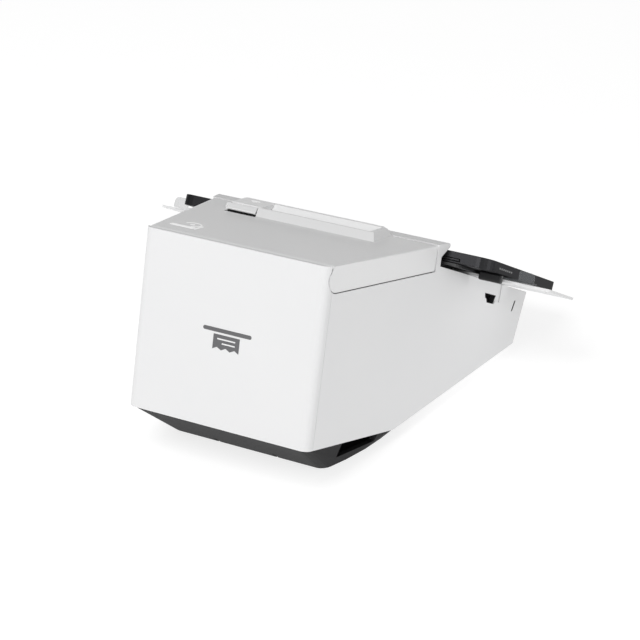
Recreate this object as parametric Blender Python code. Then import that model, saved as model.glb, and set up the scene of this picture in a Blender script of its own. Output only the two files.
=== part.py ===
"""Receipt printer with a tablet stand on its sloped front, as separate pieces.

World: +Z up, the operator stands on the -Y side and the customer on the +Y side, X is the width.
All sizes are in millimetres until a mesh is written, where MM turns them into metres.

The body leans, so four drawing systems are used. Each has the axes (across, forward, up), where
forward points to the operator, and each is only turned about X from the world:
  LEVEL  the table's own axes; forward and up from the rear top edge's foot point
  BODY   forward runs along the top of the printer, up is square to the top
  PRINT  forward runs away from the cover hinge through the platen, up is the paper's direction
  SLOPE  forward runs down the sloped front, up is square to the slope
"""

import math

import bmesh
import bpy
from mathutils import Matrix, Vector

MM = 0.001
GAP = 0.3

# Overall placing
FOOT_HEIGHT = 1.2
REAR_Y = 120.4
REAR_TOP_HEIGHT = 154.3 + FOOT_HEIGHT
LEAN = 14.4
SLOPE_ANGLE = 29.65

# Enclosure, in BODY
REAR_HALF_WIDTH = 65.5
FLARE = 0.167
REAR_HEIGHT = 120.5
WALL = 2.6
PANEL_THICKNESS = 3.0
PANEL_RETURN = 7.0
PANEL_RAIL = 4.4
CORNER_RADIUS = 5.0
COVER_FRONT = 126.0
COVER_REAR = 5.0
COVER_DEPTH = 18.0
COVER_WALL = 2.4
COVER_DROP = 0.5
COVER_GAP = 0.6
LIP_REAR = 126.6
LIP_TIP = (141.2, -2.2)
SLOPE_TOP = (128.2, -14.5)
SLOPE_END = (256.3, -49.4)
FRONT_FOOT = (247.0, -86.9)
BELLY = (99.5, -124.5)

# Cover hinge and flange, in BODY
HINGE = (10.0, -5.0)
HINGE_BARREL = 4.5
HINGE_PIN = 1.0
FLANGE_CENTRE = (12.4, -9.0)
FLANGE_RADIUS = 9.0

# Paper exit band, in BODY
RIM_HEIGHT = 4.0
RIM_FOOT = 96.2
RIM_CREST = 103.6
NOTCH_REAR = 105.5
RIM_RIGHT = -52.2
BAND_RIGHT = -44.7
BAND_LEFT = 61.8
TROUGH_LEFT = 37.2
PANEL_CREST = 125.0
LEVER_X = (36.9, 59.4)
LEVER_PIVOT = (103.4, 1.2)
LEVER_BORE = 0.95

# Print unit, in PRINT; the paper touches the platen at (0, 0)
PRINT_EXTRA_LEAN = 10.0
PRINT_REACH = 95.5
PLATEN_RADIUS = 7.0
PAPER_CENTRE = -3.6
PAPER_WIDTH = 79.5
PLATEN_LENGTH = 81.0
SHAFT_RADIUS = 3.0
FRAME_HALF = 43.3
FRAME_SHEET = 1.6
ARM_X = ((-52.0, -49.4), (46.0, 48.6))
GEAR_X = (40.5, 44.5)
GEAR_RADIUS = 8.0
GEAR_TEETH = 18
PINION_RADIUS = 4.0
PINION_TEETH = 9
TOOTH_HEIGHT = 1.5
TOOTH_TIP = 0.08
TOOTH_FOOT = 0.32
CUTTER_GEAR = 7.9
CRANK_RADIUS = 4.0
CRANK_REST = 40.0
IDLER = (-7.0, -14.8)
PINION = (1.27, -21.74)

# Paper roll, in BODY
ROLL_CENTRE = (58.0, -66.0)
ROLL_RADIUS = 40.0
CORE_RADIUS = 9.0
CORE_BORE = 6.5
BUCKET_RADIUS = 43.0
BUCKET_WALL = 2.0
BUCKET_HALF = 43.5
SHELF = (-28.6, -26.4)
SENSOR_PIVOT = (90.0, -88.0)
SENSOR_TIP = (78.0, -96.2)

# Tablet stand, in SLOPE
STAND_HINGE = (127.5, 2.3)
STAND_BARREL = 1.95
STAND_PIN = 1.0
FRAME_RISE = (2.4, 4.2)
CARRIER_HALF = 153.0
CARRIER_SPAN = (44.8, 103.9)
CARRIER_RISE = (0.3, 2.1)
TABLET_HALF = 119.3
TABLET_SPAN = (9.6, 165.4)
TABLET_RISE = (4.6, 12.3)
TABLET_CORNER = 10.0
TABLET_EDGE = 2.6
TABLET_KEY = (-91.0, 6.9)
HOOK_REACH = (113.6, 130.0, 141.0)
HOOK_TOP = 10.2
BLOCK_REACH = (103.5, 120.0)

# Electronics, in SLOPE
BOARD_TOP = -34.0
KEY_BOARD = 125.6
FACE = 133.2
SOCKETS = (
    ("power_socket", -46.0, 13.0, 10.0, 17.0, "black"),
    ("drawer_socket", -24.0, 16.0, 13.0, 18.0, "black"),
    ("usb_b_socket", -1.0, 12.0, 11.0, 16.0, "steel"),
    ("usb_a_socket", 20.0, 13.2, 5.8, 14.0, "steel"),
    ("lan_socket", 45.0, 16.0, 13.5, 20.0, "steel"),
)

# Base, in LEVEL: half widths of its foot line against distance forward
BASE_FOOT = (
    (11.5, 57.3), (30.0, 64.6), (48.0, 70.0), (64.4, 73.2), (78.5, 75.1), (100.0, 76.5), (205.0, 77.0),
)
BASE_SHELF = 8.4
BASE_CORNER = 5.0
BASE_WALL = 2.4
FOOT_PLACES = ((-48.0, 26.0), (48.0, 26.0), (-66.0, 192.0), (66.0, 192.0))

WHITE = (0.80, 0.80, 0.80)
DARK = (0.035, 0.035, 0.038)
STEEL = (0.56, 0.57, 0.58)


# ---------------------------------------------------------------- systems

def turn_x(degrees):
    """Rotation about X."""
    return Matrix.Rotation(math.radians(degrees), 4, "X")


def body_point(forward, up):
    """World matrix origin of a BODY point."""
    return BODY @ Vector((0.0, -forward * MM, up * MM))


LEVEL = Matrix.Translation((0.0, REAR_Y * MM, FOOT_HEIGHT * MM))
BODY = Matrix.Translation((0.0, REAR_Y * MM, REAR_TOP_HEIGHT * MM)) @ turn_x(LEAN)
REACH_ANGLE = math.radians(PRINT_EXTRA_LEAN)
NIP = (HINGE[0] + PRINT_REACH * math.cos(REACH_ANGLE), HINGE[1] - PRINT_REACH * math.sin(REACH_ANGLE))
PRINT = Matrix.Translation(body_point(*NIP)) @ turn_x(LEAN + PRINT_EXTRA_LEAN)
SLOPE = Matrix.Translation(body_point(*SLOPE_TOP)) @ turn_x(SLOPE_ANGLE)

# World matrix of every placed piece and axis, by name
WORLD_OF = {}


def spot(system, across, forward, up):
    """World position of a point drawn in a system."""
    return system @ Vector((across * MM, -forward * MM, up * MM))


def half_width(forward):
    """Half the width of the flared body at a distance forward along its top."""
    return REAR_HALF_WIDTH + FLARE * forward


# ---------------------------------------------------------------- shapes

def new_object(name, bm):
    """Link a bmesh as an object, with its faces turned outwards."""
    bmesh.ops.recalc_face_normals(bm, faces=bm.faces)
    mesh = bpy.data.meshes.new(name)
    bm.to_mesh(mesh)
    bm.free()
    obj = bpy.data.objects.new(name, mesh)
    bpy.context.scene.collection.objects.link(obj)
    return obj


def prism(outline, left, right):
    """Outline of (forward, up) points stretched across; its ends are numbers or rules of forward."""
    bm = bmesh.new()
    sides = []
    for side in (left, right):
        ring = []
        for forward, up in outline:
            across = side(forward) if callable(side) else side
            ring.append(bm.verts.new((across * MM, -forward * MM, up * MM)))
        sides.append(ring)
    bm.faces.new(sides[0])
    bm.faces.new(sides[1])
    count = len(outline)
    for i in range(count):
        j = (i + 1) % count
        bm.faces.new((sides[0][i], sides[0][j], sides[1][j], sides[1][i]))
    return new_object("prism", bm)


def flared(outline, inset=0.0):
    """Prism whose ends follow the flared sides of the body, moved in by inset."""
    return prism(outline, lambda f: half_width(f) - inset, lambda f: inset - half_width(f))


def slab(outline, low, high):
    """Outline of (across, forward) points raised from low to high."""
    bm = bmesh.new()
    rings = []
    for up in (low, high):
        rings.append([bm.verts.new((x * MM, -f * MM, up * MM)) for x, f in outline])
    bm.faces.new(rings[0])
    bm.faces.new(rings[1])
    count = len(outline)
    for i in range(count):
        j = (i + 1) % count
        bm.faces.new((rings[0][i], rings[0][j], rings[1][j], rings[1][i]))
    return new_object("slab", bm)


def box(x0, x1, f0, f1, u0, u1):
    """Box between two corners in (across, forward, up)."""
    return prism([(f0, u0), (f1, u0), (f1, u1), (f0, u1)], x0, x1)


def rod(x0, x1, centre, radius, sides=24):
    """Cylinder along X about a (forward, up) centre."""
    return prism(arc(centre, radius, 0.0, 360.0, sides), x0, x1)


def peg(centre, radius, low, high, sides=24):
    """Upright cylinder about an (across, forward) centre."""
    return slab(arc(centre, radius, 0.0, 360.0, sides), low, high)


def plug(centre, radius, f0, f1, sides=24):
    """Cylinder along the forward axis about an (across, up) centre."""
    bm = bmesh.new()
    rings = []
    for forward in (f0, f1):
        ring = arc(centre, radius, 0.0, 360.0, sides)
        rings.append([bm.verts.new((x * MM, -forward * MM, u * MM)) for x, u in ring])
    bm.faces.new(rings[0])
    bm.faces.new(rings[1])
    for i in range(sides):
        j = (i + 1) % sides
        bm.faces.new((rings[0][i], rings[0][j], rings[1][j], rings[1][i]))
    return new_object("plug", bm)


def arc(centre, radius, start, end, steps):
    """Points on an arc in degrees; a full turn leaves out its last point."""
    full = abs(end - start) >= 360.0
    points = []
    for i in range(steps if full else steps + 1):
        angle = math.radians(start + (end - start) * i / steps)
        points.append((centre[0] + radius * math.cos(angle), centre[1] + radius * math.sin(angle)))
    return points


def rounded(x0, x1, f0, f1, radius, steps=5):
    """Rectangle outline with round corners."""
    points = []
    corners = ((x1 - radius, f1 - radius, 0), (x0 + radius, f1 - radius, 90),
               (x0 + radius, f0 + radius, 180), (x1 - radius, f0 + radius, 270))
    for x, f, start in corners:
        points.extend(arc((x, f), radius, start, start + 90, steps))
    return points


def gear(x0, x1, centre, radius, teeth, tooth_at):
    """Spur gear along X with plain trapezium teeth; one tooth points to the angle tooth_at."""
    points = []
    for i in range(teeth):
        for part, reach in ((-TOOTH_TIP, radius), (TOOTH_TIP, radius),
                            (TOOTH_FOOT, radius - TOOTH_HEIGHT),
                            (1.0 - TOOTH_FOOT, radius - TOOTH_HEIGHT)):
            angle = 2.0 * math.pi * (i + part) / teeth + math.radians(tooth_at)
            points.append((centre[0] + reach * math.cos(angle), centre[1] + reach * math.sin(angle)))
    return prism(points, x0, x1)


def coil(across, up, start, end, radius, wire, turns):
    """Compression spring along the forward axis."""
    bm = bmesh.new()
    ring_sides = 6
    steps = turns * 14
    rings = []
    for i in range(steps + 1):
        share = i / steps
        angle = 2.0 * math.pi * turns * share
        forward = start + wire + (end - start - 2.0 * wire) * share
        ring = []
        for k in range(ring_sides):
            bend = 2.0 * math.pi * k / ring_sides
            reach = radius + wire * math.cos(bend)
            x = across + reach * math.cos(angle)
            f = forward + wire * math.sin(bend)
            u = up + reach * math.sin(angle)
            ring.append(bm.verts.new((x * MM, -f * MM, u * MM)))
        rings.append(ring)
    for low, high in zip(rings, rings[1:]):
        for k in range(ring_sides):
            m = (k + 1) % ring_sides
            bm.faces.new((low[k], low[m], high[m], high[k]))
    bm.faces.new(rings[0])
    bm.faces.new(rings[-1])
    return new_object("coil", bm)


def combine(target, others, operation):
    """Apply Boolean operations to target with each of the others, and remove them."""
    for other in others:
        modifier = target.modifiers.new("cut", "BOOLEAN")
        modifier.operation = operation
        modifier.solver = "EXACT"
        modifier.object = other
        bpy.context.view_layer.update()
        evaluated = target.evaluated_get(bpy.context.evaluated_depsgraph_get())
        mesh = bpy.data.meshes.new_from_object(evaluated)
        target.modifiers.clear()
        target.data = mesh
        bpy.data.objects.remove(other)
    return target


def cut(target, *cutters):
    """Take the cutters away from target."""
    return combine(target, cutters, "DIFFERENCE")


def join(target, *others):
    """Add the others to target."""
    return combine(target, others, "UNION")


def round_edges(obj, radius, segments, chosen):
    """Bevel the edges for which chosen(start, end) is true; points are (across, forward, up)."""
    bm = bmesh.new()
    bm.from_mesh(obj.data)
    picked = []
    for edge in bm.edges:
        ends = []
        for vert in edge.verts:
            ends.append((vert.co.x / MM, -vert.co.y / MM, vert.co.z / MM))
        if chosen(*ends):
            picked.append(edge)
    bmesh.ops.bevel(bm, geom=picked, offset=radius * MM, segments=segments, affect="EDGES", profile=0.5)
    bm.to_mesh(obj.data)
    bm.free()
    return obj


# ---------------------------------------------------------------- placing

def axis_empty(name, system, across, forward, up, parent=None):
    """Empty on a joint's axis, turned like its system."""
    empty = bpy.data.objects.new(name, None)
    bpy.context.scene.collection.objects.link(empty)
    empty.empty_display_size = 0.01
    place = Matrix.Translation(spot(system, across, forward, up)) @ system.to_3x3().to_4x4()
    set_parent(empty, parent, place)
    return empty


def set_parent(obj, parent, place):
    """Parent an object and give it the world matrix place."""
    local = place
    if parent is not None:
        obj.parent = parent
        local = WORLD_OF[parent.name].inverted() @ place
    obj.location = local.to_translation()
    obj.rotation_euler = local.to_euler()
    WORLD_OF[obj.name] = place


def finish(obj, name, system, parent, material, pivot=(0.0, 0.0, 0.0)):
    """Name a piece, move its origin to its pivot (across, forward, up) and place it."""
    obj.name = name
    obj.data.name = name
    local = Vector((pivot[0] * MM, -pivot[1] * MM, pivot[2] * MM))
    obj.data.transform(Matrix.Translation(-local))
    obj.data.materials.clear()
    obj.data.materials.append(material)
    obj.data.shade_smooth()
    obj.data.set_sharp_from_angle(angle=math.radians(32.0))
    place = Matrix.Translation(spot(system, *pivot)) @ system.to_3x3().to_4x4()
    set_parent(obj, parent, place)
    return obj


def finish_material(name, colour, roughness, metallic=0.0, alpha=1.0):
    """Principled material with the piece's finish."""
    material = bpy.data.materials.new(name)
    material.use_nodes = True
    shader = material.node_tree.nodes["Principled BSDF"]
    shader.inputs["Base Color"].default_value = (*colour, 1.0)
    shader.inputs["Roughness"].default_value = roughness
    shader.inputs["Metallic"].default_value = metallic
    shader.inputs["Alpha"].default_value = alpha
    return material


def make_materials():
    """One finish for each kind of surface."""
    return {
        "white": finish_material("white_plastic", WHITE, 0.42),
        "black": finish_material("black_plastic", DARK, 0.5),
        "tablet": finish_material("tablet_finish", (0.05, 0.05, 0.055), 0.35, 0.4),
        "glass": finish_material("glass_black", (0.01, 0.01, 0.012), 0.06),
        "clear": finish_material("clear_plastic", (0.9, 0.92, 0.93), 0.1, 0.0, 0.3),
        "steel": finish_material("steel", STEEL, 0.3, 1.0),
        "sheet": finish_material("zinc_sheet", (0.62, 0.62, 0.6), 0.4, 1.0),
        "aluminium": finish_material("aluminium", (0.77, 0.78, 0.79), 0.35, 1.0),
        "ceramic": finish_material("ceramic", (0.72, 0.66, 0.58), 0.3),
        "rubber": finish_material("rubber", (0.03, 0.03, 0.03), 0.85),
        "nylon": finish_material("nylon", (0.75, 0.74, 0.7), 0.45),
        "paper": finish_material("paper", (0.92, 0.92, 0.9), 0.8),
        "card": finish_material("card", (0.45, 0.34, 0.22), 0.85),
        "board": finish_material("board", (0.02, 0.16, 0.07), 0.5),
        "lens": finish_material("lens", (0.25, 0.6, 0.9), 0.15),
    }


# ---------------------------------------------------------------- enclosure

def cover_room():
    """Space taken by the cover across the full width, with clearance."""
    rear = COVER_REAR - COVER_GAP
    front = COVER_FRONT + COVER_GAP
    floor = -COVER_DEPTH - COVER_GAP
    circle = arc(FLANGE_CENTRE, FLANGE_RADIUS + COVER_GAP, 150.0, 270.0, 16)
    outline = [(rear, 5.0), (rear, -2.0)] + circle + [(front, floor), (front, 5.0)]
    return prism(outline, -120.0, 120.0)


def make_housing(mats, root):
    """White shell: both sides, the lip over the tablet, the slope, the front and the belly."""
    lip = [LIP_TIP, (140.6, -3.2), (131.5, -8.8), (131.5, -15.4)]
    outline = [(PANEL_RETURN + 0.2, 0.0), (138.8, 0.0), (140.6, -0.7)] + lip
    outline += [SLOPE_END, FRONT_FOOT, BELLY, (PANEL_RETURN + 0.2, -REAR_HEIGHT - 0.3)]
    shell = flared(outline)
    cavity = [(-20.0, 20.0), (LIP_REAR, 20.0), (LIP_REAR, -16.9), (253.0, -51.3), (244.6, -84.9)]
    cavity += [(104.0, -121.0), (104.0, -150.0), (-20.0, -150.0)]
    cut(shell, flared(cavity, WALL), cover_room())
    bay = box(-72.0, 72.0, 22.0, 110.0, -6.0, 4.0)
    move_between(bay, SLOPE, BODY)
    cut(shell, bay)
    for side in (-1, 1):
        cut(shell, *side_openings(side))
    switch_hole = box(-61.3, -42.7, 125.0, 140.0, -20.0, -8.0)
    button_hole = plug((52.0, -14.0), 4.5, 125.0, 140.0)
    lens_hole = box(16.0, 36.0, 125.0, 140.0, -15.6, -12.4)
    for hole in (switch_hole, button_hole, lens_hole):
        cut(shell, move_between(hole, SLOPE, BODY))
    join(shell, *stand_lugs(), *inner_supports())
    return finish(shell, "housing", BODY, root, mats["white"])


def stand_lugs():
    """Two lugs near the front end of the slope, bored for the stand's pins."""
    lugs = []
    for side in (-1, 1):
        outline = [(123.5, -1.0), (131.0, -1.0)] + arc(STAND_HINGE, STAND_BARREL, 0.0, 180.0, 10)
        lug = prism(outline, 75.0 * side, 81.0 * side)
        cut(lug, rod(74.0 * side, 82.0 * side, STAND_HINGE, STAND_PIN + 0.05))
        lugs.append(move_between(lug, SLOPE, BODY))
    return lugs


def inner_supports():
    """Ledges for the trough's shelf, slanted posts for the main board and pegs for the key board."""
    parts = []
    for side in (-1, 1):
        ledge = box(74.0 * side, 82.0 * side, 0.0, 17.0, SHELF[0] - 3.3, SHELF[0] - GAP)
        parts.append(move_between(ledge, PRINT, BODY))
        for along in (32.0, 98.0):
            rear = to_system(SLOPE, LEVEL, along - 3.0, BOARD_TOP - 1.6 - GAP)
            front = to_system(SLOPE, LEVEL, along + 3.0, BOARD_TOP - 1.6 - GAP)
            post = prism([(rear[0], 10.5), rear, front, (front[0], 10.5)], 57.0 * side, 63.0 * side)
            parts.append(move_between(post, LEVEL, BODY))
    for x in (41.0, 63.0):
        peg_box = box(x - 1.2, x + 1.2, KEY_BOARD + GAP, 131.0, -17.0, -11.0)
        parts.append(move_between(peg_box, SLOPE, BODY))
    return parts


def side_openings(side):
    """Latch recess with its hole under the slope's edge, and the narrow slot near the front."""
    recess = [(196.0, -31.0), (219.5, -37.0), (218.5, -52.4), (197.0, -46.0)]
    hole = [(197.6, -42.4), (214.0, -46.8), (211.0, -52.6), (200.5, -49.8)]
    slot = [(240.2, -54.0), (242.0, -54.0), (239.0, -61.6), (237.2, -61.6)]
    cutters = []
    for outline, depth in ((recess, 0.8), (hole, 6.0), (slot, 6.0)):
        cutters.append(prism(outline, lambda f: side * (half_width(f) + 3.0),
                             lambda f, reach=depth: side * (half_width(f) - reach)))
    return cutters


def move_between(obj, source, target):
    """Rewrite a mesh drawn in one system so that it is drawn in another."""
    obj.data.transform(target.inverted() @ source)
    return obj


def make_rear_panel(mats, root):
    """Flat panel facing the customer, with round corners, short returns and a top rail."""
    outline = [(0.0, 0.0), (0.0, -REAR_HEIGHT), (PANEL_RETURN, -REAR_HEIGHT - 0.3), (PANEL_RETURN, 0.0)]
    panel = flared(outline)
    round_edges(panel, CORNER_RADIUS, 6,
                lambda p, q: p[1] < 0.1 and q[1] < 0.1 and abs(p[2] - q[2]) > 50.0)
    inner = [(PANEL_THICKNESS, -6.0), (PANEL_THICKNESS, -140.0), (20.0, -140.0), (20.0, -6.0)]
    above = [(PANEL_RAIL, 5.0), (PANEL_RAIL, -7.0), (20.0, -7.0), (20.0, 5.0)]
    cut(panel, flared(inner, WALL), flared(above, WALL), cover_room())
    for x in (-30.0, 30.0):
        outline = arc(HINGE, 2.3, -60.0, 215.0, 14) + [(7.4, -10.2), (2.0, -12.5), (2.0, -18.0)]
        lug = prism(outline, x - 2.5, x + 2.5)
        cut(lug, rod(x - 3.5, x + 3.5, HINGE, HINGE_PIN + 0.05))
        join(panel, lug)
    return finish(panel, "rear_panel", BODY, root, mats["white"])


def body_to_level(forward, up):
    """LEVEL coordinates of a BODY point."""
    place = LEVEL.inverted() @ body_point(forward, up)
    return (-place.y / MM, place.z / MM)


def hull(points):
    """Convex solid around (across, forward, up) points."""
    bm = bmesh.new()
    for x, f, u in points:
        bm.verts.new((x * MM, -f * MM, u * MM))
    result = bmesh.ops.convex_hull(bm, input=bm.verts)
    spare = result["geom_interior"] + result["geom_unused"]
    loose = [item for item in spare if isinstance(item, bmesh.types.BMVert)]
    bmesh.ops.delete(bm, geom=loose, context="VERTS")
    bmesh.ops.dissolve_limit(bm, angle_limit=0.002, verts=bm.verts, edges=bm.edges)
    return new_object("hull", bm)


def base_points(inset, lift, rise):
    """Corner points of the base's rear wedge and of its front tray, both moved in by inset."""
    rear = body_to_level(1.6 + inset, -REAR_HEIGHT - 0.7 + rise)
    belly = body_to_level(BELLY[0], BELLY[1] - 0.5 + rise)
    wedge = []
    tray = []
    for side in (-1, 1):
        wedge.append((side * (half_width(1.6) - 2.0 - inset), rear[0], rear[1]))
        wedge.append((side * (half_width(BELLY[0]) - 2.2 - inset), belly[0], belly[1]))
        tray.append((side * (half_width(BELLY[0]) - 2.2 - inset), belly[0] - 1.0, BASE_SHELF + rise))
        tray.append((side * (80.0 - inset), 208.0 - inset, BASE_SHELF + rise))
        for forward, reach in BASE_FOOT:
            foot = (side * (reach - inset), forward + (inset if forward < 20.0 else 0.0), lift)
            if forward < 66.0:
                wedge.append(foot)
            if forward > 64.0:
                tray.append((foot[0], min(forward, 205.0 - inset), lift))
    return wedge, tray


def make_base(mats, root):
    """Black foot of the printer, undercut at the back, open at both sides for the cables."""
    wedge, tray = base_points(0.0, 0.0, 0.0)
    rear = hull(wedge)
    round_edges(rear, BASE_CORNER, 4,
                lambda p, q: p[0] * q[0] > 0.0 and abs(p[2] - q[2]) > 5.0 and max(p[1], q[1]) < 20.0)
    base = join(rear, hull(tray))
    wedge, tray = base_points(BASE_WALL, BASE_WALL, 0.0)
    hollow = [(x, f, u + (6.0 if u > BASE_WALL else 0.0)) for x, f, u in wedge]
    cut(base, hull(hollow))
    cut(base, box(-70.0, 70.0, 60.0, 200.0, BASE_WALL, BASE_SHELF + 5.0))
    for side in (-1, 1):
        cut(base, prism([(15.0, 9.5), (52.0, 5.0), (52.0, 40.0), (8.0, 40.0)], 58.0 * side, 95.0 * side))
    groove = [(-9.0, 12.0), (-9.0, 17.0), (14.0, -1.0), (12.0, -1.0)]
    for x in (21.0, -23.0):
        cut(base, hull([(x + shift, f, u) for shift in (-0.8, 0.8) for f, u in groove]))
    for x, f in FOOT_PLACES:
        cut(base, peg((x, f), 6.3, -1.0, 1.0))
    return finish(base, "base_tray", LEVEL, root, mats["black"])


def make_feet(mats, root):
    """Rubber feet in shallow pockets."""
    names = ("foot_rear_right", "foot_rear_left", "foot_front_right", "foot_front_left")
    for name, (x, f) in zip(names, FOOT_PLACES):
        finish(peg((x, f), 6.0, -FOOT_HEIGHT, 0.7), name, LEVEL, root, mats["rubber"], (x, f, -FOOT_HEIGHT))


def make_exit_block(mats, root):
    """Fixed part of the raised exit band: sloped paper guide, the roof beside it and the front ridge."""
    top = RIM_HEIGHT
    right = BAND_RIGHT + 0.5
    left = BAND_LEFT - 0.5
    guide = [(111.6, -7.6), (PANEL_CREST, top), (126.3, top), (126.3, -9.0), (112.2, -9.0)]
    ridge = [(125.5, -4.0), (125.5, top), (129.0, top), (137.0, 0.9), (137.6, GAP), (126.3, GAP),
             (126.3, -4.0)]
    roof = [(106.9, 1.7), (106.9, top), (126.0, top), (126.0, 1.7)]
    cheek = [(106.9, 2.0), (106.9, top), (126.2, top), (126.2, -9.0), (112.2, -9.0)]
    block = prism(guide, right, TROUGH_LEFT + 0.4)
    join(block, prism(ridge, right, left), prism(roof, TROUGH_LEFT, left))
    join(block, prism(cheek, TROUGH_LEFT, TROUGH_LEFT + 1.6))
    return finish(block, "exit_block", BODY, root, mats["white"])


def make_hinge_pin(mats, root):
    """Steel pin on which the cover turns."""
    pin = rod(-58.0, 58.0, HINGE, HINGE_PIN, 16)
    return finish(pin, "hinge_pin", BODY, root, mats["steel"], (0.0, *HINGE))


# ---------------------------------------------------------------- cover

def cover_outline():
    """Side view of the cover: round back edge, flat top, front edge on an arc about the hinge."""
    back = arc(HINGE, HINGE_BARREL, 180.0, 90.0, 6)
    front = arc(HINGE, COVER_FRONT - HINGE[0], 2.2, -6.2, 4)[1:-1]
    flange = arc(FLANGE_CENTRE, FLANGE_RADIUS, 270.0, 160.0, 14)
    return back + [(COVER_FRONT - 0.2, -COVER_DROP)] + front + [(125.3, -COVER_DEPTH)] + flange


def raise_rim(cover):
    """Add the rim before the paper exit with its slanted end, and the ear that holds the lever's pin."""
    rear = NOTCH_REAR + 1.0
    left = LEVER_X[1] + 0.1
    end_rear = NOTCH_REAR - 1.0
    rim = [(RIM_FOOT, -1.2), (RIM_FOOT, -COVER_DROP), (RIM_CREST, RIM_HEIGHT), (rear, RIM_HEIGHT), (rear, -1.2)]
    end = [(end_rear, -1.0), (end_rear, RIM_HEIGHT), (125.4, RIM_HEIGHT), (125.8, -1.0)]
    ear_top = RIM_HEIGHT - 0.4
    ear = [(101.4, -1.0), (101.4, 2.2), (RIM_CREST, ear_top), (rear, ear_top), (rear, -1.0)]
    join(cover, prism(rim, RIM_RIGHT, left), prism(end, RIM_RIGHT, BAND_RIGHT))
    join(cover, prism(ear, left - 0.5, BAND_LEFT + 0.8))
    slant = []
    level = -COVER_DROP - 0.02
    for forward in (90.0, 135.0):
        slant += [(-60.0, forward, 6.0), (-60.0, forward, level)]
        slant += [(RIM_RIGHT, forward, level), (RIM_RIGHT + 5.8, forward, 6.0)]
    cut(cover, hull(slant))


def beside_lever(clearance):
    """Wedge that cuts the lever's right end at a slant, wider towards the operator."""
    corners = []
    for forward, reach in ((88.0, -2.3), (112.0, 4.9)):
        for up in (-8.0, 12.0):
            corners += [(LEVER_X[0] - 9.0, forward, up), (LEVER_X[0] + reach - clearance, forward, up)]
    return hull(corners)


def make_cover(mats, axis):
    """Roll cover: top plate with side flanges, the raised rim and the hinge barrel."""
    cover = flared(cover_outline(), COVER_DROP)
    round_edges(cover, 1.6, 3, lambda p, q: min(p[2], q[2]) > -0.6 and abs(p[1] - q[1]) > 60.0)
    front = COVER_FRONT - COVER_WALL
    inner = [(-10.0, -COVER_WALL), (front, -COVER_WALL), (front - 0.6, -40.0), (-10.0, -40.0)]
    cut(cover, flared(inner, COVER_WALL))
    join(cover, rod(-62.0, 62.0, HINGE, HINGE_BARREL - 0.05, 24))
    raise_rim(cover)
    rim_rear = NOTCH_REAR - 2.2
    under = [(97.4, -4.0), (97.4, -COVER_WALL), (103.2, 1.4), (rim_rear, 1.4), (rim_rear, -4.0)]
    pocket = [(93.5, -6.0), (93.5, 0.6), (95.0, 9.0), (108.0, 9.0), (108.0, -6.0)]
    pocket_room = prism(pocket, LEVER_X[0] - 2.0, LEVER_X[1] + 0.4)
    cut(pocket_room, beside_lever(0.5))
    cut(cover, prism(under, BAND_RIGHT, TROUGH_LEFT - 3.2),
        box(BAND_RIGHT, BAND_LEFT, NOTCH_REAR, 140.0, -30.0, 10.0), pocket_room)
    cut(cover, rod(-60.0, 60.0, HINGE, HINGE_PIN + 0.05, 16),
        rod(LEVER_X[0] - 2.2, LEVER_X[1] + 1.6, LEVER_PIVOT, LEVER_BORE, 12))
    ceiling = -COVER_WALL - 0.02
    for x in (-30.0, 30.0):
        cut(cover, box(x - 2.9, x + 2.9, 0.0, 18.0, -20.0, ceiling))
    return finish(cover, "roll_cover", BODY, axis, mats["white"], (0.0, *HINGE))


def make_lever(mats, cover_axis):
    """Lever that frees the cover; its rear edge is lifted by a finger."""
    middle = (0.5 * sum(LEVER_X), *LEVER_PIVOT)
    axis = axis_empty("lever_axis", BODY, *middle, cover_axis)
    nose = arc(LEVER_PIVOT, 2.6, 105.0, -60.0, 8)
    lever = prism([(96.2, 0.5), (95.9, 1.7)] + nose + [(101.6, -0.6)], *LEVER_X)
    cut(lever, beside_lever(0.0), rod(LEVER_X[0] - 1.0, LEVER_X[1] + 1.0, LEVER_PIVOT, LEVER_BORE, 12))
    finish(lever, "open_lever", BODY, axis, mats["white"], middle)
    pin = rod(LEVER_X[0] - 1.8, LEVER_X[1] + 1.2, LEVER_PIVOT, LEVER_BORE - 0.07, 12)
    finish(pin, "lever_pin", BODY, cover_axis, mats["steel"], middle)


def make_platen(mats, cover_axis):
    """Rubber roller on its steel shaft with the drive gear."""
    centre = (-PLATEN_RADIUS, 0.0)
    middle = (PAPER_CENTRE, *centre)
    axis = axis_empty("platen_axis", PRINT, *middle, cover_axis)
    half = 0.5 * PLATEN_LENGTH
    roller = rod(PAPER_CENTRE - half, PAPER_CENTRE + half, centre, PLATEN_RADIUS, 32)
    cut(roller, rod(-60.0, 60.0, centre, SHAFT_RADIUS + 0.1, 24))
    finish(roller, "platen_roller", PRINT, axis, mats["rubber"], middle)
    shaft = rod(ARM_X[0][0] - 1.0, ARM_X[1][1] + 1.0, centre, SHAFT_RADIUS, 24)
    finish(shaft, "platen_shaft", PRINT, axis, mats["steel"], middle)
    wheel = gear(GEAR_X[0], GEAR_X[1], centre, GEAR_RADIUS, GEAR_TEETH, -90.0)
    cut(wheel, rod(30.0, 50.0, centre, SHAFT_RADIUS + 0.1, 24))
    finish(wheel, "platen_gear", PRINT, axis, mats["nylon"], middle)


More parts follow.
